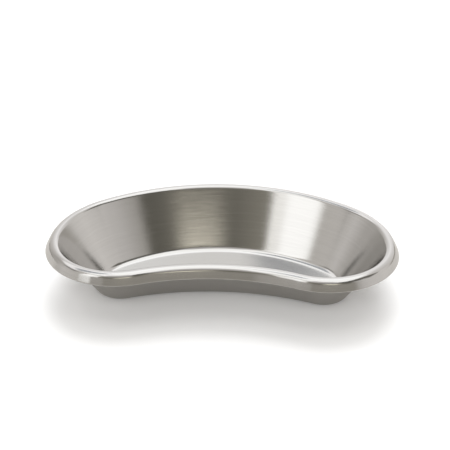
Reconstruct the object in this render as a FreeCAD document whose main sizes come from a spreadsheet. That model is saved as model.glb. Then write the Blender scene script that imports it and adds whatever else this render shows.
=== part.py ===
import FreeCAD, Part
import Sketcher
import math
import os

# Kidney dish: one seamless dish pressed from stainless sheet.
# Frame: origin on the underside, at the middle of the overall length and width.
# +X runs along the length, +Y towards the convex back, +Z up out of the bowl.

NODE = "dish_shell"

SIZES = {
    "overall_length": 250.0,
    "overall_width": 142.0,
    "waist_width": 129.0,     # convex back to the middle of the concave front
    "overall_height": 42.0,
    "shoulder_radius": 72.0,  # rim outline, from each end round to the back
    "lobe_radius": 52.5,      # rim outline, from each end round to the front
    "sheet_thickness": 0.7,
    "crest_radius": 3.5,      # roll from the wall up to the top of the rim
    "brow_radius": 5.0,       # broader roll from the top of the rim down its outside
    "rim_reach": 6.7,         # centre of that roll out to the rim's outermost line
    "rim_drop": 7.5,          # top of the rim down to its rounded lower edge
    "wall_angle": 33.5,       # wall leaning out from the vertical
    "floor_fillet": 6.0,      # inside radius between floor and wall
    "floor_land": 6.0,        # flat rim of the floor, formed with the wall
}

START, END, CENTRE = 1, 2, 3
X_AXIS, Y_AXIS, ORIGIN = -1, -2, (-1, 1)
SPINE_EDGES = ["Edge%d" % number for number in range(1, 9)]


def origin_plane(body, role):
    """The body's own origin plane that has this role."""
    return next(plane for plane in body.Origin.OriginFeatures if plane.Role == role)


def add_sketch(body, name, role):
    """An empty sketch on one of the body's origin planes."""
    sketch = body.newObject("Sketcher::SketchObject", name)
    sketch.AttachmentSupport = [(origin_plane(body, role), "")]
    sketch.MapMode = "FlatFace"
    return sketch


def add_arc(sketch, centre, radius, start, end):
    """A counter-clockwise arc, with its angles in radians."""
    middle = FreeCAD.Vector(centre[0], centre[1], 0)
    circle = Part.Circle(middle, FreeCAD.Vector(0, 0, 1), radius)
    return sketch.addGeometry(Part.ArcOfCircle(circle, start, end), False)


def add_line(sketch, start, end):
    """A straight line between two points of the sketch."""
    first = FreeCAD.Vector(start[0], start[1], 0)
    last = FreeCAD.Vector(end[0], end[1], 0)
    return sketch.addGeometry(Part.LineSegment(first, last), False)


def constrain(sketch, kind, *places):
    """A geometric constraint, which has no size."""
    sketch.addConstraint(Sketcher.Constraint(kind, *places))


def dimension(sketch, name, expression, kind, *places):
    """A named driving dimension that follows an expression."""
    index = sketch.addConstraint(Sketcher.Constraint(kind, *places))
    sketch.renameConstraint(index, name)
    sketch.setExpression("Constraints." + name, expression)


def on_circle(centre, radius, angle):
    """The point of a circle at an angle in radians."""
    return centre[0] + radius * math.cos(angle), centre[1] + radius * math.sin(angle)


def kidney_outline(body, name, inset, inset_expression):
    """A closed kidney of tangent arcs, inset evenly from the rim's outermost line.

    The arcs run from the middle of the back down the -X side, through the concave
    front and up the +X side. The first and last share one circle, as do the two of
    the front, so that the outline starts where the sheet's section is drawn.
    """
    half_length = SIZES["overall_length"] / 2
    half_width = SIZES["overall_width"] / 2
    shoulder = SIZES["shoulder_radius"]
    lobe = SIZES["lobe_radius"]

    # Centres of the end arcs, then of the back and front circles tangent to them.
    end_y = lobe - half_width
    shoulder_x = half_length - shoulder
    lobe_x = half_length - lobe
    rise = half_width - end_y - shoulder
    back_drop = (shoulder_x ** 2 - rise ** 2) / (2 * rise)
    back_y = end_y - back_drop
    back = half_width - back_y
    front_y_on_axis = half_width - SIZES["waist_width"]
    step = end_y - front_y_on_axis
    front = (lobe_x ** 2 + step ** 2 - lobe ** 2) / (2 * (lobe - step))
    front_y = front_y_on_axis - front
    back_turn = math.atan2(back_drop, shoulder_x)
    front_turn = math.atan2(end_y - front_y, lobe_x)

    sketch = add_sketch(body, name, "XY_Plane")
    quarter, half = math.pi / 2, math.pi
    back_left = add_arc(sketch, (0, back_y), back - inset, quarter, half - back_turn)
    shoulder_left = add_arc(sketch, (-shoulder_x, end_y), shoulder - inset, half - back_turn, half)
    lobe_left = add_arc(sketch, (-lobe_x, end_y), lobe - inset, half, 2 * half - front_turn)
    front_left = add_arc(sketch, (0, front_y), front + inset, quarter, half - front_turn)
    front_right = add_arc(sketch, (0, front_y), front + inset, front_turn, quarter)
    lobe_right = add_arc(sketch, (lobe_x, end_y), lobe - inset, front_turn - half, 0)
    shoulder_right = add_arc(sketch, (shoulder_x, end_y), shoulder - inset, 0, back_turn)
    back_right = add_arc(sketch, (0, back_y), back - inset, back_turn, quarter)

    constrain(sketch, "Tangent", back_left, END, shoulder_left, START)
    constrain(sketch, "Tangent", shoulder_left, END, lobe_left, START)
    constrain(sketch, "Tangent", lobe_left, END, front_left, END)
    constrain(sketch, "Tangent", front_right, START, lobe_right, START)
    constrain(sketch, "Tangent", lobe_right, END, shoulder_right, START)
    constrain(sketch, "Tangent", shoulder_right, END, back_right, START)
    for right, right_end, left, left_end in (
        (back_right, END, back_left, START),
        (front_right, END, front_left, START),
    ):
        constrain(sketch, "Coincident", right, right_end, left, left_end)
        constrain(sketch, "Coincident", right, CENTRE, left, CENTRE)
        constrain(sketch, "PointOnObject", right, right_end, Y_AXIS)
        constrain(sketch, "PointOnObject", right, CENTRE, Y_AXIS)
    constrain(sketch, "Equal", shoulder_left, shoulder_right)
    constrain(sketch, "Equal", lobe_left, lobe_right)
    constrain(sketch, "Horizontal", lobe_left, CENTRE, lobe_left, START)
    constrain(sketch, "Horizontal", lobe_right, CENTRE, lobe_right, END)

    dimension(sketch, "shoulder_arc", "sizes.shoulder_radius * 1 mm - " + inset_expression,
              "Radius", shoulder_right, shoulder - inset)
    dimension(sketch, "lobe_arc", "sizes.lobe_radius * 1 mm - " + inset_expression,
              "Radius", lobe_right, lobe - inset)
    dimension(sketch, "half_length", "sizes.overall_length / 2 * 1 mm - " + inset_expression,
              "DistanceX", *ORIGIN, lobe_right, END, half_length - inset)
    dimension(sketch, "back_height", "sizes.overall_width / 2 * 1 mm - " + inset_expression,
              "DistanceY", *ORIGIN, back_right, END, half_width - inset)
    dimension(sketch, "end_offset", "(sizes.overall_width / 2 - sizes.lobe_radius) * 1 mm",
              "DistanceY", lobe_right, CENTRE, *ORIGIN, -end_y)
    dimension(sketch, "waist", "sizes.waist_width * 1 mm - 2 * " + inset_expression,
              "DistanceY", front_right, END, back_right, END, SIZES["waist_width"] - 2 * inset)
    return sketch


def sheet_section(body, name):
    """The sheet cut through at the middle of the back, with the bowl towards -Y.

    The bowl's face and the outer face are two chains of tangent lines and arcs, one
    sheet thickness apart: floor land, fillet, wall, crest, brow and skirt. The sheet's
    own edge, below the skirt, is rounded right over.
    """
    sheet = SIZES["sheet_thickness"]
    crest = SIZES["crest_radius"]
    brow = SIZES["brow_radius"]
    edge = sheet / 2
    fillet = SIZES["floor_fillet"]
    rim_y = SIZES["overall_width"] / 2
    lean = math.radians(SIZES["wall_angle"])

    crest_centre = (rim_y - SIZES["rim_reach"], SIZES["overall_height"] - crest)
    brow_centre = (crest_centre[0], SIZES["overall_height"] - brow)
    edge_centre = (rim_y - edge, SIZES["overall_height"] - SIZES["rim_drop"] + edge)
    across = edge_centre[0] - brow_centre[0]
    down = edge_centre[1] - brow_centre[1]
    skirt_normal = math.atan2(down, across) + math.acos((brow - edge) / math.hypot(across, down))
    wall_normal = math.pi - lean
    wall_top = on_circle(crest_centre, crest, wall_normal)
    fillet_z = sheet + fillet
    fillet_y = wall_top[0] - ((wall_top[1] - fillet_z) * math.sin(lean) + fillet) / math.cos(lean)
    fillet_centre = (fillet_y, fillet_z)
    land_y = fillet_y - SIZES["floor_land"]

    sketch = add_sketch(body, name, "YZ_Plane")
    faces = []
    for convex_offset in (0.0, sheet):
        fillet_radius = fillet + convex_offset
        crest_radius = crest - convex_offset
        brow_radius = brow - convex_offset
        wall_foot = on_circle(fillet_centre, fillet_radius, -lean)
        wall_head = on_circle(crest_centre, crest_radius, wall_normal)
        skirt_head = on_circle(brow_centre, brow_radius, skirt_normal)
        skirt_foot = on_circle(edge_centre, edge - convex_offset, skirt_normal)
        land_z = sheet - convex_offset
        land = add_line(sketch, (land_y, land_z), (fillet_y, land_z))
        fillet_arc = add_arc(sketch, fillet_centre, fillet_radius, -math.pi / 2, -lean)
        wall = add_line(sketch, wall_foot, wall_head)
        crest_arc = add_arc(sketch, crest_centre, crest_radius, math.pi / 2, wall_normal)
        brow_arc = add_arc(sketch, brow_centre, brow_radius, skirt_normal, math.pi / 2)
        skirt = add_line(sketch, skirt_head, skirt_foot)
        constrain(sketch, "Tangent", land, END, fillet_arc, START)
        constrain(sketch, "Tangent", fillet_arc, END, wall, START)
        constrain(sketch, "Tangent", wall, END, crest_arc, END)
        constrain(sketch, "Tangent", crest_arc, START, brow_arc, END)
        constrain(sketch, "Tangent", brow_arc, START, skirt, START)
        faces.append({"land": land, "fillet": fillet_arc, "wall": wall,
                      "crest": crest_arc, "brow": brow_arc, "skirt": skirt})
    inner, outer = faces

    land_cut = add_line(sketch, (land_y, 0), (land_y, sheet))
    edge_arc = add_arc(sketch, edge_centre, edge, skirt_normal - math.pi, skirt_normal)
    constrain(sketch, "Tangent", inner["skirt"], END, edge_arc, END)
    constrain(sketch, "Tangent", outer["skirt"], END, edge_arc, START)
    for part in ("fillet", "crest", "brow"):
        constrain(sketch, "Coincident", inner[part], CENTRE, outer[part], CENTRE)
    constrain(sketch, "Coincident", land_cut, START, outer["land"], START)
    constrain(sketch, "Coincident", land_cut, END, inner["land"], START)
    constrain(sketch, "Vertical", inner["crest"], CENTRE, inner["brow"], CENTRE)
    constrain(sketch, "Vertical", land_cut)
    constrain(sketch, "Horizontal", inner["land"])
    constrain(sketch, "Horizontal", outer["land"])
    constrain(sketch, "PointOnObject", land_cut, START, X_AXIS)

    dimension(sketch, "sheet", "sizes.sheet_thickness * 1 mm", "Distance", land_cut, sheet)
    dimension(sketch, "land_width", "sizes.floor_land * 1 mm",
              "Distance", outer["land"], SIZES["floor_land"])
    dimension(sketch, "fillet_radius", "sizes.floor_fillet * 1 mm",
              "Radius", inner["fillet"], fillet)
    dimension(sketch, "crest_radius", "sizes.crest_radius * 1 mm",
              "Radius", inner["crest"], crest)
    dimension(sketch, "brow_radius", "sizes.brow_radius * 1 mm", "Radius", inner["brow"], brow)
    dimension(sketch, "crest_inside", "(sizes.crest_radius - sizes.sheet_thickness) * 1 mm",
              "Radius", outer["crest"], crest - sheet)
    dimension(sketch, "edge_radius", "sizes.sheet_thickness / 2 * 1 mm",
              "Radius", edge_arc, edge)
    dimension(sketch, "crest_y", "(sizes.overall_width / 2 - sizes.rim_reach) * 1 mm",
              "DistanceX", *ORIGIN, inner["crest"], CENTRE, crest_centre[0])
    dimension(sketch, "crest_z", "(sizes.overall_height - sizes.crest_radius) * 1 mm",
              "DistanceY", *ORIGIN, inner["crest"], CENTRE, crest_centre[1])
    dimension(sketch, "edge_y", "(sizes.overall_width - sizes.sheet_thickness) / 2 * 1 mm",
              "DistanceX", *ORIGIN, edge_arc, CENTRE, edge_centre[0])
    dimension(sketch, "edge_z",
              "(sizes.overall_height - sizes.rim_drop + sizes.sheet_thickness / 2) * 1 mm",
              "DistanceY", *ORIGIN, edge_arc, CENTRE, edge_centre[1])
    dimension(sketch, "wall_slope", "(90 - sizes.wall_angle) * 1 deg",
              "Angle", inner["wall"], math.pi / 2 - lean)

    # Where the land ends: measured, not driving, and read by the floor's outline.
    land_end = sketch.addConstraint(
        Sketcher.Constraint("DistanceX", *ORIGIN, land_cut, START, land_y))
    sketch.renameConstraint(land_end, "land_end")
    sketch.setDriving(land_end, False)
    return sketch, rim_y - land_y


def check_document(document):
    """Stop if any object failed to recompute or any solid is missing or invalid."""
    for item in document.Objects:
        if "Invalid" in item.State or "Error" in item.State:
            raise RuntimeError("%s failed to recompute: %s" % (item.Label, item.State))
    for body in document.findObjects("PartDesign::Body"):
        if body.Shape.isNull() or not body.Shape.isValid():
            raise RuntimeError("%s has no valid shape" % body.Label)
        if len(body.Shape.Solids) != 1:
            raise RuntimeError("%s is not one solid" % body.Label)


document = FreeCAD.newDocument("kidney_dish")

sheet_of_sizes = document.addObject("Spreadsheet::Sheet", "sizes")
for row, (alias, value) in enumerate(SIZES.items(), start=1):
    sheet_of_sizes.set("A%d" % row, alias)
    sheet_of_sizes.set("B%d" % row, str(value))
    sheet_of_sizes.setAlias("B%d" % row, alias)
document.recompute()

dish = document.addObject("PartDesign::Body", "dish")
dish.Label = NODE
dish.Placement = FreeCAD.Placement()

section, land_inset = sheet_section(dish, "section")
document.recompute()

rim_outline = kidney_outline(dish, "rim_outline", 0.0, "0 mm")
wall_and_rim = dish.newObject("PartDesign::AdditivePipe", "wall_and_rim")
wall_and_rim.Profile = section
wall_and_rim.Spine = (rim_outline, SPINE_EDGES)
wall_and_rim.Mode = "Standard"
wall_and_rim.Transition = "Transformed"
document.recompute()

# The floor reaches halfway over the land, so that the two join as one sheet.
floor_outline = kidney_outline(
    dish, "floor_outline", land_inset - SIZES["floor_land"] / 2,
    "((sizes.overall_width - sizes.floor_land) / 2 * 1 mm - section.Constraints.land_end)")
floor = dish.newObject("PartDesign::Pad", "floor")
floor.Profile = floor_outline
floor.setExpression("Length", "sizes.sheet_thickness * 1 mm")
document.recompute()

check_document(document)

os.makedirs("parts", exist_ok=True)
dish.Shape.exportStep(os.path.join("parts", NODE + ".step"))

box = dish.Shape.optimalBoundingBox(False, False)
print("%s: %.3f x %.3f x %.3f mm, volume %.1f mm3, %d faces" % (
    NODE, box.XLength, box.YLength, box.ZLength, dish.Shape.Volume, len(dish.Shape.Faces)))
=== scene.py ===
import math

import bpy
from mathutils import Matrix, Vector


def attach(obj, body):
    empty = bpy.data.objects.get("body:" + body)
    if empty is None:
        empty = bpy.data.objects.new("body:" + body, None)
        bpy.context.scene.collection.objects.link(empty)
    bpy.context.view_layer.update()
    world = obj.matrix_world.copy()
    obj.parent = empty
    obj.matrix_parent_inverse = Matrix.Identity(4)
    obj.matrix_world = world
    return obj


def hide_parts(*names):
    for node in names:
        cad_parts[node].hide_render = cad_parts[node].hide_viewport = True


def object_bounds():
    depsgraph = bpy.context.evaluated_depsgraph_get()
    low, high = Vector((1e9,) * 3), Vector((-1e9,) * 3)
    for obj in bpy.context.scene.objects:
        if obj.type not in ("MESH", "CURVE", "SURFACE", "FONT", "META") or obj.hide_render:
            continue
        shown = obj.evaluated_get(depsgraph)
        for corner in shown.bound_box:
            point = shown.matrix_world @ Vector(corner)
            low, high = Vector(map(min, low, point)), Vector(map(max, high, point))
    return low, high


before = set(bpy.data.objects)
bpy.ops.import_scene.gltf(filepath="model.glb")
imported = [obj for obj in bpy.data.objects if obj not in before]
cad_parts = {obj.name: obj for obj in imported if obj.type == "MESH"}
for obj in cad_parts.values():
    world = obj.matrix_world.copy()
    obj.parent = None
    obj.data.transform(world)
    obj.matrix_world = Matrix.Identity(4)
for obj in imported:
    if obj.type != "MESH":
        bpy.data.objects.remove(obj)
cad_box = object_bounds()

# Kidney dish in satin stainless sheet. Metres, in the frame of the CAD model: origin under the
# middle of the dish, +X along its length, +Y towards the convex back, +Z up.

# ---------------------------------------------------------------- sizes
LENGTH = cad_box[1][0] - cad_box[0][0]
WIDTH = cad_box[1][1] - cad_box[0][1]
HEIGHT = cad_box[1][2]
WAIST = 0.129                    # convex back to the middle of the concave front
SHOULDER = 0.072                 # radius of the plan where the back meets the ends
LOBE = 0.0525                    # radius of the plan round the two front lobes
SHEET = 0.0007                   # thickness
CREST = 0.0035                   # radius from the wall over to the top of the rim
BROW = 0.005                     # radius from the top of the rim down to the skirt
RIM_REACH = 0.0067               # top of the rim out to its outermost line
RIM_DROP = 0.0075                # top of the rim down to its rounded lower edge
EDGE = SHEET / 2                 # radius of that edge
WALL_LEAN = math.radians(33.5)   # outward from upright
FILLET = 0.006                   # inside radius between floor and wall

# Mesh steps: round half the back, a shoulder, a lobe and the front, then along the section.
ARC_STEPS = (70, 36, 60, 100)
FILLET_STEPS, WALL_STEPS, CREST_STEPS, BROW_STEPS, SKIRT_STEPS, EDGE_STEPS = 14, 26, 16, 18, 6, 6
FLOOR_RUNGS = 12
UV_PER_METRE = 10                # the brushing map


# ---------------------------------------------------------------- outline and section
def rim_path():
    """Stations round the rim's outermost line, counter-clockwise from the middle of the back.

    Each station is (centre x, centre y, radius, angle, turn): turn is +1 on the convex arcs
    and -1 on the concave front, where a point further in lies further from the centre.
    """
    end_y = LOBE - WIDTH / 2
    shoulder_x = LENGTH / 2 - SHOULDER
    lobe_x = LENGTH / 2 - LOBE
    rise = WIDTH / 2 - end_y - SHOULDER
    back_drop = (shoulder_x ** 2 - rise ** 2) / (2 * rise)
    back = WIDTH / 2 - end_y + back_drop
    waist_y = WIDTH / 2 - WAIST
    lift = end_y - waist_y
    front = (lobe_x ** 2 + lift ** 2 - LOBE ** 2) / (2 * (LOBE - lift))
    front_y = waist_y - front
    back_turn = math.atan2(back_drop, shoulder_x)
    front_turn = math.atan2(end_y - front_y, lobe_x)
    right, up, left = 0.0, math.pi / 2, math.pi
    back_steps, shoulder_steps, lobe_steps, front_steps = ARC_STEPS
    arcs = (
        (0, end_y - back_drop, back, up, left - back_turn, 1, back_steps),
        (-shoulder_x, end_y, SHOULDER, left - back_turn, left, 1, shoulder_steps),
        (-lobe_x, end_y, LOBE, left, 2 * left - front_turn, 1, lobe_steps),
        (0, front_y, front, left - front_turn, front_turn, -1, front_steps),
        (lobe_x, end_y, LOBE, front_turn - left, right, 1, lobe_steps),
        (shoulder_x, end_y, SHOULDER, right, back_turn, 1, shoulder_steps),
        (0, end_y - back_drop, back, back_turn, up, 1, back_steps),
    )
    stations = []
    for x, y, radius, start, end, turn, steps in arcs:
        for step in range(steps):
            angle = start + (end - start) * step / steps
            stations.append((x, y, radius, angle, turn))
    return stations


def arc_points(centre, radius, start, end, steps):
    """Points of an arc in the section, both ends included."""
    points = []
    for step in range(steps + 1):
        angle = start + (end - start) * step / steps
        points.append((centre[0] + radius * math.cos(angle), centre[1] + radius * math.sin(angle)))
    return points


def between(first, last, steps):
    """The points strictly between two points of the section."""
    return [(first[0] + (last[0] - first[0]) * step / steps,
             first[1] + (last[1] - first[1]) * step / steps) for step in range(1, steps)]


def sheet_face(depth):
    """One face of the sheet, floor to rounded edge: 0 for the bowl's face, SHEET for the outer one.

    Each point is (distance outward from the rim's outermost line, height).
    """
    crest_centre = (-RIM_REACH, HEIGHT - CREST)
    brow_centre = (-RIM_REACH, HEIGHT - BROW)
    edge_centre = (-EDGE, HEIGHT - RIM_DROP + EDGE)
    across = edge_centre[0] - brow_centre[0]
    down = edge_centre[1] - brow_centre[1]
    skirt_normal = math.atan2(down, across) + math.acos((BROW - EDGE) / math.hypot(across, down))
    wall_normal = math.pi - WALL_LEAN
    top = (crest_centre[0] + CREST * math.cos(wall_normal),
           crest_centre[1] + CREST * math.sin(wall_normal))
    foot_z = SHEET + FILLET
    foot_x = top[0] - ((top[1] - foot_z) * math.sin(WALL_LEAN) + FILLET) / math.cos(WALL_LEAN)

    floor_turn = arc_points((foot_x, foot_z), FILLET + depth,
                            -math.pi / 2, -WALL_LEAN, FILLET_STEPS)
    crest = arc_points(crest_centre, CREST - depth, wall_normal, math.pi / 2, CREST_STEPS)
    brow = arc_points(brow_centre, BROW - depth, math.pi / 2, skirt_normal, BROW_STEPS)
    side = skirt_normal if depth == 0 else skirt_normal - math.pi
    edge = arc_points(edge_centre, EDGE, side, skirt_normal - math.pi / 2, EDGE_STEPS)
    wall = between(floor_turn[-1], crest[0], WALL_STEPS)
    skirt = between(brow[-1], edge[0], SKIRT_STEPS)
    return floor_turn + wall + crest + brow[1:] + skirt + edge


def sheet_section():
    """The sheet's whole section: up the bowl's face, round the edge and back down outside.

    Each point is (outward, height, distance along its face from the floor).
    """
    faces = []
    for depth in (0.0, SHEET):
        run = 0.0
        face = []
        previous = None
        for point in sheet_face(depth):
            if previous is not None:
                run += math.hypot(point[0] - previous[0], point[1] - previous[1])
            face.append((point[0], point[1], run))
            previous = point
        faces.append(face)
    inner, outer = faces
    return inner + outer[-2::-1]


def station_point(station, outward, height):
    """The point of a station this far outward of the rim's outermost line."""
    x, y, radius, angle, turn = station
    reach = radius + turn * outward
    return (x + reach * math.cos(angle), y + reach * math.sin(angle), height)


# ---------------------------------------------------------------- the dish
def wall_faces(stations, section):
    """Quads between neighbouring stations, each with its corners in the brushing map."""
    count, depth = len(stations), len(section)
    middle = sum(point[0] for point in section) / depth
    along = [0.0]
    for index in range(count):
        here = Vector(station_point(stations[index], middle, 0))
        there = Vector(station_point(stations[(index + 1) % count], middle, 0))
        along.append(along[-1] + (there - here).length)

    faces, coords = [], []
    for i in range(count):
        for j in range(depth - 1):
            a, b = i * depth + j, ((i + 1) % count) * depth + j
            faces.append((a, a + 1, b + 1, b))
            low, high = section[j][2], section[j + 1][2]
            coords.append(((low, along[i]), (high, along[i]),
                           (high, along[i + 1]), (low, along[i + 1])))
    return faces, coords


def floor_rows(verts, ring):
    """Rows of points across the floor, back to front, from the left end to the right.

    The ring is the floor's outline. Points inside it are added to verts.
    """
    half, quarter = len(ring) // 2, len(ring) // 4
    rows = []
    for k in range(half + 1):
        first, last = ring[(quarter - k) % len(ring)], ring[(quarter + k) % len(ring)]
        if k in (0, half):
            rows.append([first])
            continue
        start, end = Vector(verts[first]), Vector(verts[last])
        row = [first]
        for step in range(1, FLOOR_RUNGS):
            row.append(len(verts))
            verts.append(tuple(start.lerp(end, step / FLOOR_RUNGS)))
        rows.append(row + [last])
    return rows


def floor_faces(verts, rows, flip):
    """Faces between neighbouring rows. A row of one point closes them in triangles."""
    faces, coords = [], []
    for low, high in zip(rows, rows[1:]):
        for step in range(FLOOR_RUNGS):
            corners = []
            for row, place in ((low, step), (low, step + 1), (high, step + 1), (high, step)):
                corner = row[min(place, len(row) - 1)]
                if corner not in corners:
                    corners.append(corner)
            if len(corners) < 3:
                continue
            if flip:
                corners.reverse()
            faces.append(tuple(corners))
            coords.append(tuple((verts[v][1], verts[v][0]) for v in corners))
    return faces, coords


def build_dish():
    """The pressed dish as one closed mesh, its quads running round the rim."""
    stations = rim_path()
    section = sheet_section()
    depth = len(section)
    verts = [station_point(station, point[0], point[1])
             for station in stations for point in section]
    faces, coords = wall_faces(stations, section)
    for edge, flip in ((0, False), (depth - 1, True)):
        ring = [index * depth + edge for index in range(len(stations))]
        more_faces, more_coords = floor_faces(verts, floor_rows(verts, ring), flip)
        faces += more_faces
        coords += more_coords

    mesh = bpy.data.meshes.new("dish_shell_satin")
    mesh.from_pydata(verts, [], faces)
    layer = mesh.uv_layers.new(name="brushing")
    for polygon, corners in zip(mesh.polygons, coords):
        for loop_index, uv in zip(polygon.loop_indices, corners):
            layer.data[loop_index].uv = (uv[0] * UV_PER_METRE, uv[1] * UV_PER_METRE)
    mesh.validate()
    mesh.shade_smooth()
    piece = bpy.data.objects.new("dish_shell_satin", mesh)
    bpy.context.scene.collection.objects.link(piece)
    return piece


# ---------------------------------------------------------------- materials
NOISE_SPAN = (0.25, 0.75)        # where most of a noise texture's values lie


class Nodes:
    """A small helper that adds and links shader nodes."""

    def __init__(self, tree):
        self.tree = tree
        self.tree.nodes.clear()

    def add(self, kind, **settings):
        node = self.tree.nodes.new(kind)
        for name, value in settings.items():
            setattr(node, name, value)
        return node

    def link(self, source, target):
        self.tree.links.new(source, target)

    def math(self, operation, *values):
        """A math node. Each value is a number or the output of another node."""
        node = self.add("ShaderNodeMath", operation=operation)
        for socket, value in zip(node.inputs, values):
            if isinstance(value, (int, float)):
                socket.default_value = value
            else:
                self.link(value, socket)
        return node.outputs[0]

    def noise(self, vector, scale, detail):
        """Noise, mostly within NOISE_SPAN."""
        node = self.add("ShaderNodeTexNoise", noise_dimensions="3D")
        node.inputs["Scale"].default_value = scale
        node.inputs["Detail"].default_value = detail
        self.link(vector, node.inputs["Vector"])
        return node.outputs["Fac"]

    def spread(self, value, low, high):
        """Noise stretched to the range from low to high."""
        node = self.add("ShaderNodeMapRange")
        self.link(value, node.inputs["Value"])
        node.inputs["From Min"].default_value = NOISE_SPAN[0]
        node.inputs["From Max"].default_value = NOISE_SPAN[1]
        node.inputs["To Min"].default_value = low
        node.inputs["To Max"].default_value = high
        return node.outputs["Result"]


# How fast the brush lines change: per metre in plan, and per unit of the brushing map
# across them. FINE and BROAD are the (scale, detail, share) of the noise that they are made of.
LINES_ALONG = 9.0
LINES_ACROSS = 150.0
FINE = (4.0, 1.0, 0.65)
BROAD = (0.35, 2.0, 0.35)
STEEL_ROUGHNESS = (0.08, 0.13)
STEEL_TONES = ((0.595, 0.59, 0.58, 1), (0.665, 0.66, 0.65, 1))
BRUSH_DEPTH = 0.00004            # metres

TABLE_SEEN = (0.94, 0.94, 0.94, 1)             # to the camera and to soft light
TABLE_DARKENED_IN_STEEL = (0.575, 0.557, 0.533, 1)      # painted shade: the table's colour in the steel's reflections, darker than the table is lit


def satin_steel():
    """Stainless steel brushed along the wall, round the dish."""
    material = bpy.data.materials.new("satin_steel_brushed")
    material.use_nodes = True
    nodes = Nodes(material.node_tree)
    output = nodes.add("ShaderNodeOutputMaterial")
    shader = nodes.add("ShaderNodeBsdfPrincipled")
    nodes.link(shader.outputs[0], output.inputs["Surface"])
    shader.inputs["Metallic"].default_value = 1.0
    shader.inputs["Anisotropic"].default_value = 0.75

    place = nodes.add("ShaderNodeTexCoord").outputs["Object"]
    axes = nodes.add("ShaderNodeSeparateXYZ")
    nodes.link(place, axes.inputs[0])
    brushing = nodes.add("ShaderNodeUVMap", uv_map="brushing")
    across = nodes.add("ShaderNodeSeparateXYZ")
    nodes.link(brushing.outputs[0], across.inputs[0])

    grain = nodes.add("ShaderNodeCombineXYZ")
    nodes.link(nodes.math("MULTIPLY", axes.outputs[0], LINES_ALONG), grain.inputs[0])
    nodes.link(nodes.math("MULTIPLY", axes.outputs[1], LINES_ALONG), grain.inputs[1])
    nodes.link(nodes.math("MULTIPLY", across.outputs[0], LINES_ACROSS), grain.inputs[2])
    parts = []
    for scale, detail, share in (FINE, BROAD):
        parts.append(nodes.math("MULTIPLY", nodes.noise(grain.outputs[0], scale, detail), share))
    lines = nodes.math("ADD", *parts)
    nodes.link(nodes.spread(lines, *STEEL_ROUGHNESS), shader.inputs["Roughness"])

    tone = nodes.add("ShaderNodeMix", data_type="RGBA")
    tone.inputs["A"].default_value, tone.inputs["B"].default_value = STEEL_TONES
    nodes.link(nodes.spread(lines, 0.0, 1.0), tone.inputs["Factor"])
    nodes.link(tone.outputs["Result"], shader.inputs["Base Color"])

    bump = nodes.add("ShaderNodeBump")
    bump.inputs["Strength"].default_value = 0.45
    bump.inputs["Distance"].default_value = BRUSH_DEPTH
    nodes.link(lines, bump.inputs["Height"])
    nodes.link(bump.outputs[0], shader.inputs["Normal"])

    tangent = nodes.add("ShaderNodeTangent", direction_type="UV_MAP", uv_map="brushing")
    nodes.link(tangent.outputs[0], shader.inputs["Tangent"])
    return material


def table_top():
    """The pale matt surface that the dish stands on. Painted shade: rays from the steel see it in a
    darker, warmer colour, so its reflection is darker than the lit table.
    """
    material = bpy.data.materials.new("pale_table")
    material.use_nodes = True
    nodes = Nodes(material.node_tree)
    output = nodes.add("ShaderNodeOutputMaterial")
    shader = nodes.add("ShaderNodeBsdfPrincipled")
    nodes.link(shader.outputs[0], output.inputs["Surface"])
    # Painted shade: glossy rays get the darker colour, so the steel mirrors the table darker than
    # it is lit.
    shade = nodes.add("ShaderNodeMix", data_type="RGBA")
    shade.inputs["A"].default_value = TABLE_SEEN
    shade.inputs["B"].default_value = TABLE_DARKENED_IN_STEEL
    nodes.link(nodes.add("ShaderNodeLightPath").outputs["Is Glossy Ray"], shade.inputs["Factor"])
    nodes.link(shade.outputs["Result"], shader.inputs["Base Color"])
    shader.inputs["Roughness"].default_value = 0.9
    shader.inputs["Specular IOR Level"].default_value = 0.1
    return material


dish = build_dish()
dish.data.materials.append(satin_steel())
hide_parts("dish_shell")
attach(dish, "root")


# ---------------------------------------------------------------- floor
def build_floor():
    """A large pale table top, just under the dish."""
    reach, drop = 6.0, -0.0001
    mesh = bpy.data.meshes.new("table")
    mesh.from_pydata([(-reach, -reach, drop), (reach, -reach, drop),
                      (reach, reach, drop), (-reach, reach, drop)], [], [(0, 1, 2, 3)])
    mesh.materials.append(table_top())
    floor = bpy.data.objects.new("table", mesh)
    bpy.context.scene.collection.objects.link(floor)
    return floor


build_floor()


# ---------------------------------------------------------------- camera
CAMERA_HEIGHT = math.radians(31.658)    # above the horizon, seen from the dish
CAMERA_TURN = math.radians(3.212)       # to the right of straight in front
CAMERA_DISTANCE = 0.81484               # from MIDDLE
CAMERA_SHIFT = (0.001527, 0.022124)     # right and up from MIDDLE to where it aims
MIDDLE = (0.0, 0.0, 0.018)
SENSOR = 36.0
FOCAL_PIXELS, IMAGE_PIXELS = 1115.046, 450.0


def add_camera():
    """The camera looks down at the concave front, a little from the right."""
    back = Vector((math.sin(CAMERA_TURN) * math.cos(CAMERA_HEIGHT),
                   -math.cos(CAMERA_TURN) * math.cos(CAMERA_HEIGHT),
                   math.sin(CAMERA_HEIGHT)))
    right = Vector((math.cos(CAMERA_TURN), math.sin(CAMERA_TURN), 0.0))
    up = back.cross(right)
    aim = Vector(MIDDLE) + right * CAMERA_SHIFT[0] + up * CAMERA_SHIFT[1]
    data = bpy.data.cameras.new("camera")
    data.sensor_width = SENSOR
    data.lens = SENSOR * FOCAL_PIXELS / IMAGE_PIXELS
    data.clip_start = 0.01
    camera = bpy.data.objects.new("camera", data)
    camera.location = Vector(MIDDLE) + back * CAMERA_DISTANCE
    camera.rotation_euler = (camera.location - aim).to_track_quat("Z", "Y").to_euler()
    bpy.context.scene.collection.objects.link(camera)
    bpy.context.scene.camera = camera


add_camera()


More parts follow.
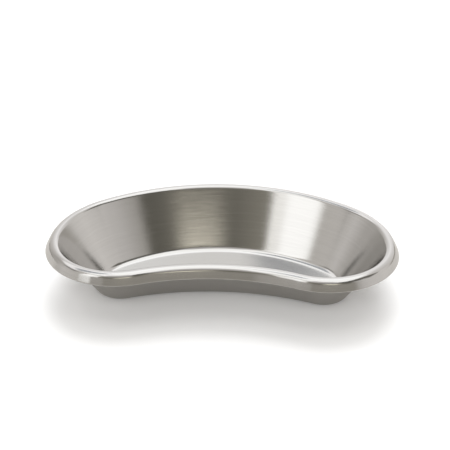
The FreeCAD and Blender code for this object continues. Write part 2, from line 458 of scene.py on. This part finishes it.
# ---------------------------------------------------------------- light
def smooth_step(nodes, value, start, end):
    """0 below start, 1 above end, smooth between."""
    node = nodes.add("ShaderNodeMapRange", interpolation_type="SMOOTHSTEP")
    nodes.link(value, node.inputs["Value"])
    node.inputs["From Min"].default_value = start
    node.inputs["From Max"].default_value = end
    return node.outputs["Result"]


def panel(nodes, angle, height, sides, ends, soft):
    """A soft-edged panel of the studio: 1 inside its sides and ends, in degrees."""
    edges = []
    for value, limits, blur in ((angle, sides, soft[0] / 2), (height, ends, soft[1] / 2)):
        start = smooth_step(nodes, value, limits[0] - blur, limits[0] + blur)
        stop = smooth_step(nodes, value, limits[1] - blur, limits[1] + blur)
        edges.append(nodes.math("SUBTRACT", start, stop))
    return nodes.math("MULTIPLY", *edges)


def over(nodes, below, factor, level):
    """A level of light laid over what is there."""
    node = nodes.add("ShaderNodeMix", data_type="RGBA")
    nodes.link(factor, node.inputs["Factor"])
    nodes.link(below, node.inputs["A"])
    node.inputs["B"].default_value = (*level, 1)
    return node.outputs["Result"]


WARM_RED, WARM_BLUE = 0.065, -0.16     # the warm tint, against green


def warm(level, share):
    """A light level as a colour, with a share of the studio's warm tint."""
    return (level * (1 + WARM_RED * share ** 0.5), level, level * (1 + WARM_BLUE * share ** 1.5))


# Light all round, where no panel covers it: (degrees round from +X, level, share of warmth).
HORIZON = (
    (0, 0.76, 0.4), (10, 0.80, 0.4), (28, 0.74, 0.4), (60, 0.89, 0.2), (80, 1.20, 0.1),
    (100, 1.02, 0.1), (120, 0.73, 0.4), (148, 0.50, 0.5), (165, 0.52, 0.5), (184, 0.70, 0.4),
    (208, 0.64, 0.5), (246, 0.26, 1.0), (262, 0.17, 1.0), (285, 0.15, 1.0), (300, 0.19, 1.0),
    (308, 0.14, 1.0), (314, 0.14, 1.0), (317, 0.44, 0.6), (330, 0.65, 0.4), (342, 0.72, 0.4),
)

# Panels, each laid over the last: (sides, ends, softness of each in degrees, level).
PANELS = (
    ((27, 60), (-90, 11), (12, 8), warm(0.42, 0.7)),         # low, behind on the right
    ((130, 157), (-90, 9), (6, 5), warm(0.40, 0.6)),         # low, behind on the left
    ((230, 252), (-90, 28), (4, 5), warm(0.44, 0.6)),        # low, beside the softbox
    ((252, 318), (-90, 27), (8, 5), warm(0.34, 0.8)),        # low, in front
    ((270, 294), (29, 35.2), (16, 4), warm(1.5, 1.0)),       # glow beside the camera
    ((213, 231), (14, 34), (4, 6), (1.16, 1.15, 1.12)),      # softbox, lower part
    ((214, 241), (28, 52), (3, 8), (1.28, 1.26, 1.22)),      # softbox
    ((215, 233), (27, 52), (4, 8), (1.54, 1.53, 1.51)),      # middle of the softbox
    ((-90, 450), (58, 180), (1, 10), (1.43, 1.42, 1.40)),    # ceiling
    ((243, 300), (47, 71), (6, 12), warm(0.58, 0.4)),        # its darker edge by the camera
    ((300, 368), (39, 60), (8, 6), warm(0.14, 0.8)),         # gap below the ceiling
    ((344, 368), (33, 60), (6, 5), warm(0.17, 0.8)),         # the same gap, lower
    ((-8, 12), (33, 60), (8, 5), warm(0.17, 0.8)),           # the same gap, past +X
    ((104, 182), (43, 58), (8, 6), warm(1.25, 0.1)),         # ceiling, lower on the left
    ((172, 200), (30, 43), (6, 5), warm(0.30, 0.5)),         # gap below that
    ((50, 119), (52, 76), (6, 6), (1.5, 1.5, 1.5)),          # overhead, behind the dish
    ((120, 178), (55, 78), (4, 6), (0.56, 0.575, 0.60)),     # gap beside it
)


def build_studio():
    """The studio all round: a bright ceiling, a softbox on the left, a dark side by the camera."""
    world = bpy.data.worlds.new("studio")
    world.use_nodes = True
    nodes = Nodes(world.node_tree)
    output = nodes.add("ShaderNodeOutputWorld")
    light = nodes.add("ShaderNodeBackground")
    backdrop = nodes.add("ShaderNodeBackground")
    seen = nodes.add("ShaderNodeMixShader")
    nodes.link(nodes.add("ShaderNodeLightPath").outputs["Is Camera Ray"], seen.inputs[0])
    nodes.link(light.outputs[0], seen.inputs[1])
    nodes.link(backdrop.outputs[0], seen.inputs[2])
    nodes.link(seen.outputs[0], output.inputs["Surface"])
    backdrop.inputs["Color"].default_value = (1, 1, 1, 1)

    axes = nodes.add("ShaderNodeSeparateXYZ")
    nodes.link(nodes.add("ShaderNodeTexCoord").outputs["Generated"], axes.inputs[0])
    turn = nodes.math("ARCTAN2", axes.outputs[1], axes.outputs[0])
    angle = nodes.math("FLOORED_MODULO", nodes.math("DEGREES", turn), 360.0)
    height = nodes.math("DEGREES", nodes.math("ARCSINE", axes.outputs[2]))

    ramp = nodes.add("ShaderNodeValToRGB")
    stops = ramp.color_ramp.elements
    stops[0].color = stops[-1].color = (*warm(*HORIZON[0][1:]), 1)
    for direction, level, share in HORIZON[1:]:
        stops.new(direction / 360).color = (*warm(level, share), 1)
    nodes.link(nodes.math("DIVIDE", angle, 360.0), ramp.inputs[0])

    sky = ramp.outputs[0]
    for sides, ends, soft, level in PANELS:
        sky = over(nodes, sky, panel(nodes, angle, height, sides, ends, soft), level)
    nodes.link(sky, light.inputs["Color"])
    bpy.context.scene.world = world


LAMP_SPREAD = 38                    # degrees
LAMP_COLOUR = (0.965, 0.98, 1.0)


def add_lamp(name, direction, power):
    """Soft light from one direction. It lights the table and isn't mirrored in the steel."""
    data = bpy.data.lights.new(name, "SUN")
    data.angle = math.radians(LAMP_SPREAD)
    data.energy = power
    data.color = LAMP_COLOUR
    lamp = bpy.data.objects.new(name, data)
    lamp.rotation_euler = Vector(direction).to_track_quat("Z", "Y").to_euler()
    lamp.visible_glossy = False
    bpy.context.scene.collection.objects.link(lamp)


build_studio()
add_lamp("key", (0.0, 0.7, 1.0), 1.25)
add_lamp("fill", (0.0, -1.0, 0.7), 1.3)
bpy.context.scene.view_settings.view_transform = "Standard"
